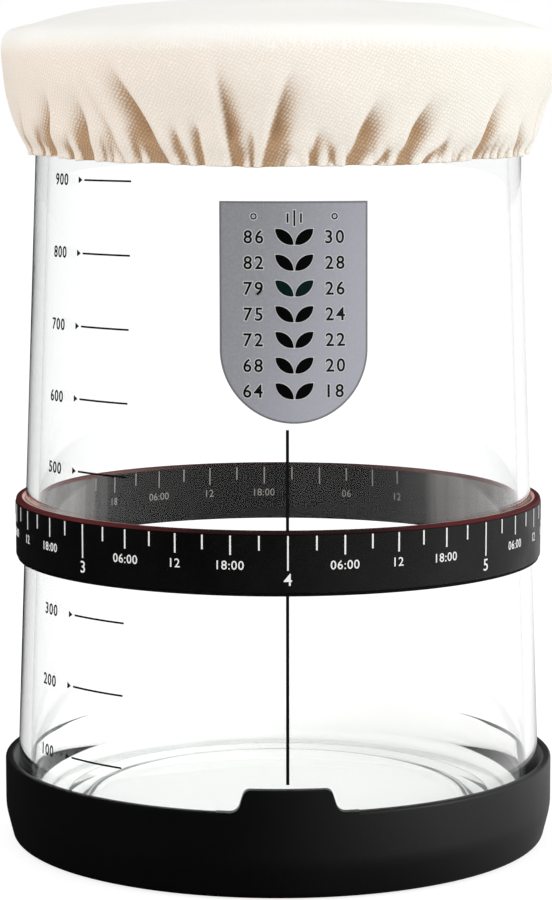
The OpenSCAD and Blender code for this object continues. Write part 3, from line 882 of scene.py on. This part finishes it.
def back_creases():
    """The creases that the photo doesn't show, at uneven steps."""
    made = []
    for i in range(BACK_CREASES):
        a = BACK_START + BACK_STEP * i + 3 * math.sin(math.radians(137 * i))
        lean = 4 * math.sin(math.radians(211 * i))
        tall = 13.5 + 5.5 * math.sin(math.radians(97 * i))
        deep = 2.4 + 0.7 * math.sin(math.radians(61 * i))
        wide = 3.0 + 0.8 * math.sin(math.radians(43 * i))
        left, right = (wide, 0.9) if i % 2 else (0.9, wide)
        made.append((a, a + lean, tall, deep, left, right))
    return made


def small_gathers():
    """Short tucks all round, where the elastic draws the hem in."""
    pick = np.random.RandomState(7)
    made = []
    for i in range(SMALL_GATHERS):
        a = 360 * (i + pick.uniform(-0.42, 0.42)) / SMALL_GATHERS
        lean = pick.uniform(-2.5, 2.5)
        tall = pick.uniform(2.6, 7.5)
        deep = pick.uniform(0.15, 0.85)
        made.append((a, a + lean, tall, deep, pick.uniform(0.55, 1.3), pick.uniform(0.55, 1.3)))
    return made


def smooth(t):
    """0 up to t = 0, 1 from t = 1 on, and an even change between."""
    t = np.clip(t, 0, 1)
    return t * t * (3 - 2 * t)


def crease_depth(creases, angles, height):
    """Depth at every angle, in mm, at one height above the hem: sharp in the valley, with
    the cloth rolled up a little beside its steep side."""
    total = np.zeros_like(angles)
    for hem, top, reach, deep, left, right in creases:
        if height > reach:
            continue
        share = max(0.0, height) / reach
        middle = hem + (top - hem) * share
        off = (angles - middle + 180) % 360 - 180
        wide = 0.7 + 0.75 * share
        near = np.where(off < 0, -off / (left * wide), off / (right * wide))
        steep, narrow = (-1, left) if left < right else (1, right)
        beside = (steep * off - 1.4 - 1.2 * narrow * wide) / 1.5
        shape = np.exp(-near ** 1.3) - 0.2 * np.exp(-beside ** 2)
        total += deep * shape * math.cos(math.pi / 2 * share) ** 1.3
    return total


def spaced_ridge():
    """The ridge outline as a smooth line, with closer points down its side."""
    knots = np.array(RIDGE)
    padded = np.vstack([2 * knots[0] - knots[1], knots, [-knots[-2][0], knots[-2][1]]])
    line = []
    for a, b, c, d in zip(padded, padded[1:], padded[2:], padded[3:]):
        for t in np.linspace(0, 1, 24, endpoint=False):
            line.append(0.5 * (2 * b + (c - a) * t + (2 * a - 5 * b + 4 * c - d) * t ** 2
                               + (3 * b - 3 * c + d - a) * t ** 3))
    line = np.array(line + [knots[-1]])
    gone = np.concatenate([[0], np.cumsum(np.linalg.norm(np.diff(line, axis=0), axis=1))])
    turn = gone[np.argmax(line[:, 1] > SHOULDER_Z)]
    marks = np.concatenate([
        np.linspace(0, turn, SIDE_ROWS, endpoint=False),
        np.linspace(turn, gone[-1], TOP_ROWS)])
    return np.column_stack([np.interp(marks, gone, line[:, k]) for k in (0, 1)])


def hem_heights(turns):
    """The hem sits lower in front, and rises and falls a little all round; in mm."""
    ahead = np.maximum(np.cos(turns), 0)
    line = 0.75 - 1.5 * ahead ** 2
    line += 0.1 * np.sin(9 * turns + 0.5 * np.sin(2 * turns)) + 0.08 * np.sin(23 * turns + 1)
    return line


def fold_depths(creases, tucks, angles, h):
    """Depth of the folds at a height above the hem, as drawn and as the cloth has room for."""
    above = max(h, 0.0)
    on_fold = h + HEM_Z < FOLDS_END_Z
    deep = crease_depth(creases, angles, above) if on_fold else np.zeros(COLUMNS)
    fine = crease_depth(tucks, angles, above) if h < TUCKS_END_H else np.zeros(COLUMNS)
    # Beside the elastic the folds have less room than in the full side
    room = 0.8 + 2.8 * smooth((h - 3.2) / 3.6)
    drawn_in = 0.5 + 0.5 * smooth((h - 2.5) / 4.0)
    raw = deep * drawn_in + fine
    return raw, room * np.tanh(raw / room)


def soft_sway(turns, z):
    """Broad soft unevenness of the cloth above the folds, in mm."""
    sway = 0.35 * np.sin(5 * turns + 0.16 * z) * np.sin(2 * turns - 0.23 * z + 1)
    sway += 0.22 * np.sin(11 * turns + 0.3 * z) * np.sin(3 * turns + 0.5)
    return sway * (smooth((z - HEM_Z) / 6) * smooth((SHOULDER_Z + 3 - z) / 6))


def cloth_surface():
    """Grid of the cover's outer face, rows x columns x 3, and how deep each point lies."""
    angles = np.arange(COLUMNS) * 360 / COLUMNS - 180
    turns = np.radians(angles)
    creases = CREASES + back_creases()
    tucks = small_gathers()
    hem_line = hem_heights(turns)
    grid, depth = [], []
    for r, z in spaced_ridge():
        h = z - HEM_Z
        on_side = smooth((FOLDS_END_Z - z) / 5.0)
        raw, both = fold_depths(creases, tucks, angles, h)
        radius = r - both * on_side + soft_sway(turns, z)
        lift = hem_line * smooth((7 - h) / 7) + 0.2 * both * smooth((2 - h) / 2)
        ripple = 0.3 * np.sin(3 * turns + 0.11 * r) * np.sin(0.16 * r + 2 * turns)
        lift = lift + ripple * smooth((z - 160) / 3) * smooth(r / 25)
        share = smooth((z - SHOULDER_Z + 0.7) / 1.5)
        radius = np.where(r < 1e-6, 0.0, radius * (1 - share) + r * share)
        grid.append(np.column_stack([
            radius * np.sin(turns), -radius * np.cos(turns), z + lift]))
        depth.append(np.clip(raw * on_side / (0.95 + 1.3 * smooth((h - 2) / 7)), 0, 1))
    return np.array(grid), np.array(depth)


def grid_normals(grid):
    """Outward normals of a grid that closes on itself round its columns."""
    around = np.roll(grid, -1, axis=1) - np.roll(grid, 1, axis=1)
    along = np.gradient(grid, axis=0)
    normal = np.cross(around, along)
    size = np.linalg.norm(normal, axis=2, keepdims=True)
    normal = normal / np.maximum(size, 1e-9)
    normal[-1] = (0, 0, 1)
    return normal


def build_cover():
    """The gathered cotton cover: one closed sheet with an outer and an inner face."""
    grid, depth = cloth_surface()
    inner = grid - CLOTH_T * grid_normals(grid)
    rows = len(grid) - 1
    points = np.concatenate([
        grid[:rows].reshape(-1, 3), inner[:rows].reshape(-1, 3), [grid[-1, 0]], [inner[-1, 0]]])
    layer = rows * COLUMNS
    faces = []
    for side, first in ((1, 0), (-1, layer)):
        apex = 2 * layer + (0 if side == 1 else 1)
        for i in range(COLUMNS):
            j = (i + 1) % COLUMNS
            for k in range(rows - 1):
                a = first + k * COLUMNS
                b = a + COLUMNS
                faces.append([a + i, a + j, b + j, b + i][::side])
            last = first + (rows - 1) * COLUMNS
            faces.append([last + i, last + j, apex][::side])
    faces += [[i, layer + i, layer + (i + 1) % COLUMNS, (i + 1) % COLUMNS]
              for i in range(COLUMNS)]
    cover = mesh_piece("cotton_cover", points, faces, "cover")
    # How deep each point lies in the folds, as a share, which the cotton turns into painted
    # shade
    fold = cover.data.attributes.new("fold", "FLOAT", "POINT")
    one = depth[:rows].ravel()
    fold.data.foreach_set("value", np.concatenate([one, one, [0, 0]]).astype(np.float32))
    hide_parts("cloth_cover")
    # A round cut, hemmed all round: its diameter is twice the way from the crown to the hem
    dress(cover, cotton_material())


# Surroundings
def build_floor():
    """A pale floor that keeps the jar's soft shadow."""
    half = 6.0
    mesh = bpy.data.meshes.new("floor")
    corners = [(-half, -half, 0), (half, -half, 0), (half, half, 0), (-half, half, 0)]
    mesh.from_pydata(corners, [], [(0, 1, 2, 3)])
    floor = bpy.data.objects.new("floor", mesh)
    floor.location.z = -0.0002
    bpy.context.scene.collection.objects.link(floor)
    material, tree, shader = new_material("pale_floor")
    tree.nodes.remove(shader)
    # Gloss mirrors the white floor on the key lamp's side and dark flags on the other
    _, x, _, _ = place(tree)
    towards_key = step(tree, x, -0.01, 0.15)
    mirrored = maths(tree, "MULTIPLY", gloss_rays(tree), towards_key)
    shown = maths(tree, "MAXIMUM", seen_rays(tree), mirrored)
    unseen = mix(tree, gloss_rays(tree), (0.74, 0.74, 0.73), (0.04, 0.04, 0.04))
    plain = add(tree, "BsdfDiffuse", {"Color": unseen})
    thin = add(tree, "BsdfDiffuse", {"Color": (0.36, 0.36, 0.36)})
    glow = add(tree, "Emission", {"Color": (1.0, 1.0, 1.0), "Strength": 0.8})
    bright = add(tree, "AddShader", {0: thin.outputs[0], 1: glow.outputs[0]})
    both = add(tree, "MixShader", {0: shown, 1: plain.outputs[0], 2: bright.outputs[0]})
    feed(tree, tree.nodes["Material Output"].inputs["Surface"], both.outputs[0])
    mesh.materials.append(material)


def build_world():
    """White where it is seen, a softer level where it lights the jar, and for gloss a
    studio that is white on the key lamp's side and has dark flags on the other."""
    ambient = 0.8
    flags = 0.04
    world = bpy.data.worlds.new("studio")
    bpy.context.scene.world = world
    world.use_nodes = True
    tree = world.node_tree
    way = add(tree, "TexCoord").outputs["Generated"]
    aside = add(tree, "SeparateXYZ", {0: way}).outputs[0]
    mirrored = step(tree, aside, -0.1, 0.8, flags, 1.0)
    unseen = mix_level(tree, gloss_rays(tree), ambient, mirrored)
    level = mix_level(tree, seen_rays(tree), unseen, 1.0)
    feed(tree, tree.nodes["Background"].inputs["Color"], (1.0, 1.0, 1.0))
    feed(tree, tree.nodes["Background"].inputs["Strength"], level)


def add_lamp(name, where, aim, size, power, colour=(1.0, 1.0, 1.0), mirrored=True):
    """A round soft lamp that neither the camera nor the glass shows."""
    data = bpy.data.lights.new(name, "AREA")
    data.shape = "DISK"
    data.size = size
    data.energy = power
    data.color = colour
    lamp = bpy.data.objects.new(name, data)
    bpy.context.scene.collection.objects.link(lamp)
    lamp.location = where
    way = np.array(aim, float) - np.array(where, float)
    lamp.rotation_euler = Vector(way).to_track_quat("-Z", "Y").to_euler()
    lamp.visible_camera = False
    lamp.visible_glossy = mirrored
    lamp.visible_transmission = False


def build_lamps():
    """The key stands at the right, a warm fill at the left, and a weak lamp overhead."""
    middle = (0.0, 0.0, 0.1)
    add_lamp("key", (1.1, -0.45, 0.36), middle, 0.6, 5.5)
    add_lamp("fill", (-0.95, -0.75, 0.3), middle, 0.8, 4.2, (1.0, 0.94, 0.89), False)
    add_lamp("overhead", (0.0, 0.1, 1.3), middle, 0.7, 0.5)


def build_camera():
    """The photograph's camera, fitted to its ellipses and its upright edges."""
    down = 6.875
    aside = 1.903
    data = bpy.data.cameras.new("camera")
    data.lens = 117.52
    data.sensor_width = 36.0
    data.sensor_fit = "AUTO"
    data.clip_start = 0.01
    data.clip_end = 50.0
    camera = bpy.data.objects.new("camera", data)
    camera.location = (-0.0198, -0.5827, 0.1477)
    camera.rotation_euler = (math.radians(90 - down), 0, math.radians(-aside))
    bpy.context.scene.collection.objects.link(camera)
    bpy.context.scene.camera = camera


bpy.context.scene.view_settings.view_transform = "Standard"
build_camera()
build_world()
build_lamps()
build_floor()

black_ink = ink_material("black_print", (0.002, 0.002, 0.0024), (0.008, 0.008, 0.009), 0.15)
white_ink = ink_material("white_print", (0.86, 0.86, 0.85), (0.6, 0.6, 0.59))
faint_ink = ink_material("faint_print", (0.34, 0.33, 0.32), (0.2, 0.19, 0.19))
halo_ink = ink_material("pale_outline", (0.56, 0.56, 0.58), (0.44, 0.44, 0.46))

build_glass()
build_volume_numbers(black_ink)
build_strip_prints(black_ink, halo_ink)
build_dial_numbers(white_ink)
build_inner_marks(faint_ink)
build_cover()

looks = {
    "silicone_base": silicone_material(),
    "index_line": black_ink,
    "volume_marks": black_ink,
    "thermometer_backing": backing_material(),
    "thermometer_film": film_material(),
    "temperature_cells": cell_material(),
    "band_liner": liner_material(),
    "feeding_band": band_material(),
    "dial_ticks": white_ink,
    "lid": wood_material(),
    "lid_gasket": seal_material(),
    "hem_elastic": elastic_material()}
for name, material in looks.items():
    dress(nodes[name], material)
